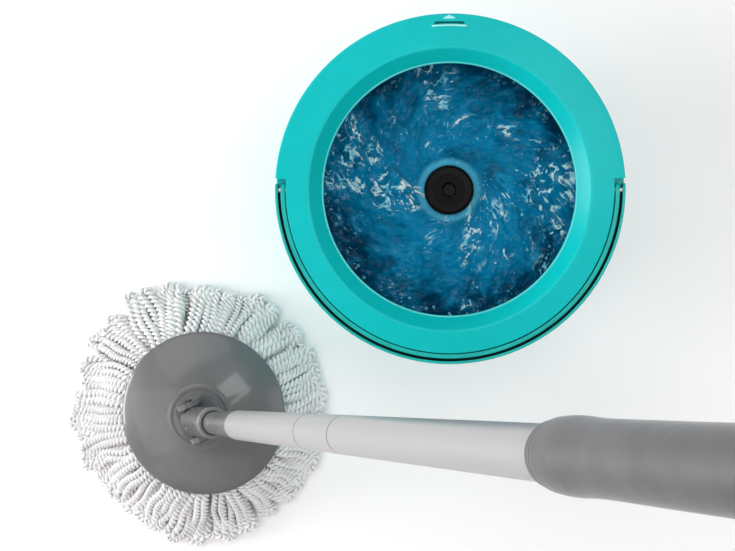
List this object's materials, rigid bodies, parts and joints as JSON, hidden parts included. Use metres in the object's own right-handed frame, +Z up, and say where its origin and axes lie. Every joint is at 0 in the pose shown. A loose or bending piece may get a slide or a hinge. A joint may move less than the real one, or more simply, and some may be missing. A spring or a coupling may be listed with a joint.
{
  "type": "spin mop set",
  "caption": "Round bucket with a folding bail and a spinning centre spindle, and a string mop on a tilting, pump-to-spin telescopic handle.",
  "frame": {"origin": "centre of the pad under the bucket's floor, on the plane that the set stands on", "axes": "+Z up along the bucket's axis, +X along the bail's pins, +Y towards the pour mark; the mop stands at -X -Y"},
  "size_m": [0.5606, 0.5035, 1.2121],
  "materials": {
    "turquoise_plastic": "satin moulded polypropylene",
    "dark_turquoise_plastic": "satin moulded polypropylene",
    "grey_plastic": "glossy moulded plastic",
    "dark_grey_plastic": "satin moulded plastic",
    "black_plastic": "satin moulded plastic",
    "nylon": "plain nylon",
    "rubber": "matt moulded rubber",
    "steel": "bright zinc-plated steel",
    "silver_tube": "satin silver",
    "grip_plastic": "soft satin sleeve",
    "cotton": "twisted cotton yarn"
  },
  "bodies": {
    "bucket": {"bucket_shell": "turquoise_plastic", "base_pads": "rubber", "splash_collar": "turquoise_plastic", "bail_pins": "steel", "spin_post": "turquoise_plastic", "post_screws": "steel", "spindle_axle": "steel", "thrust_washer": "nylon", "axle_screw": "black_plastic"},
    "bail": {"bail_handle": "dark_turquoise_plastic"},
    "spindle": {"spindle_cap": "black_plastic", "lower_bush": "nylon", "upper_bush": "nylon"},
    "joint_yoke": {"yoke": "grey_plastic", "stem_washer": "steel", "stem_screw": "steel", "pivot_pin": "steel"},
    "mop_head": {"disc_cover": "grey_plastic", "yarn_carrier": "dark_grey_plastic", "carrier_screws": "steel", "yarn_ring": "cotton"},
    "handle": {"knuckle_neck": "dark_grey_plastic", "joint_ring": "grey_plastic", "lower_tube": "silver_tube", "coupling": "silver_tube", "upper_tube": "silver_tube", "clutch_housing": "dark_grey_plastic", "nut_retainer": "steel"},
    "nut": {"drive_nut": "nylon"},
    "grip": {"grip_sleeve": "grip_plastic", "guide_bush": "dark_grey_plastic", "twisted_rod": "steel", "rod_pin": "steel", "end_cap": "dark_grey_plastic"}
  },
  "joints": [
    {"name": "bail_swing", "type": "hinge", "parent": "bucket", "child": "bail", "pos_m": [0, 0, 0.2567], "axis": [-1, 0, 0], "range_deg": [0, 115]},
    {"name": "spindle_spin", "type": "hinge", "parent": "bucket", "child": "spindle", "pos_m": [0, 0, 0.19], "axis": [0, 0, 1], "continuous": true},
    {"name": "mop_lift", "type": "slide", "parent": "bucket", "child": "joint_yoke", "axis": [0, 0, 1], "range_m": [0, 0.45]},
    {"name": "head_spin", "type": "hinge", "parent": "joint_yoke", "child": "mop_head", "pos_m": [-0.2465, -0.224, 0.05], "axis": [0, 0, 1], "continuous": true},
    {"name": "handle_tilt", "type": "hinge", "parent": "joint_yoke", "child": "handle", "pos_m": [-0.2465, -0.224, 0.0896], "axis": [-0.3746, 0.9272, 0], "range_deg": [-112, 23]},
    {"name": "pump_slide", "type": "slide", "parent": "handle", "child": "grip", "axis": [-0.3473, -0.1403, -0.9272], "range_m": [0, 0.14]},
    {"name": "nut_spin", "type": "hinge", "parent": "handle", "child": "nut", "pos_m": [-0.2465, -0.224, 0.0896], "axis": [0.3473, 0.1403, 0.9272], "range_deg": [-10, 470]}
  ],
  "couplings": [
    {"joint": "nut_spin", "follows": "pump_slide", "rad_per_m": 57.12}
  ]
}
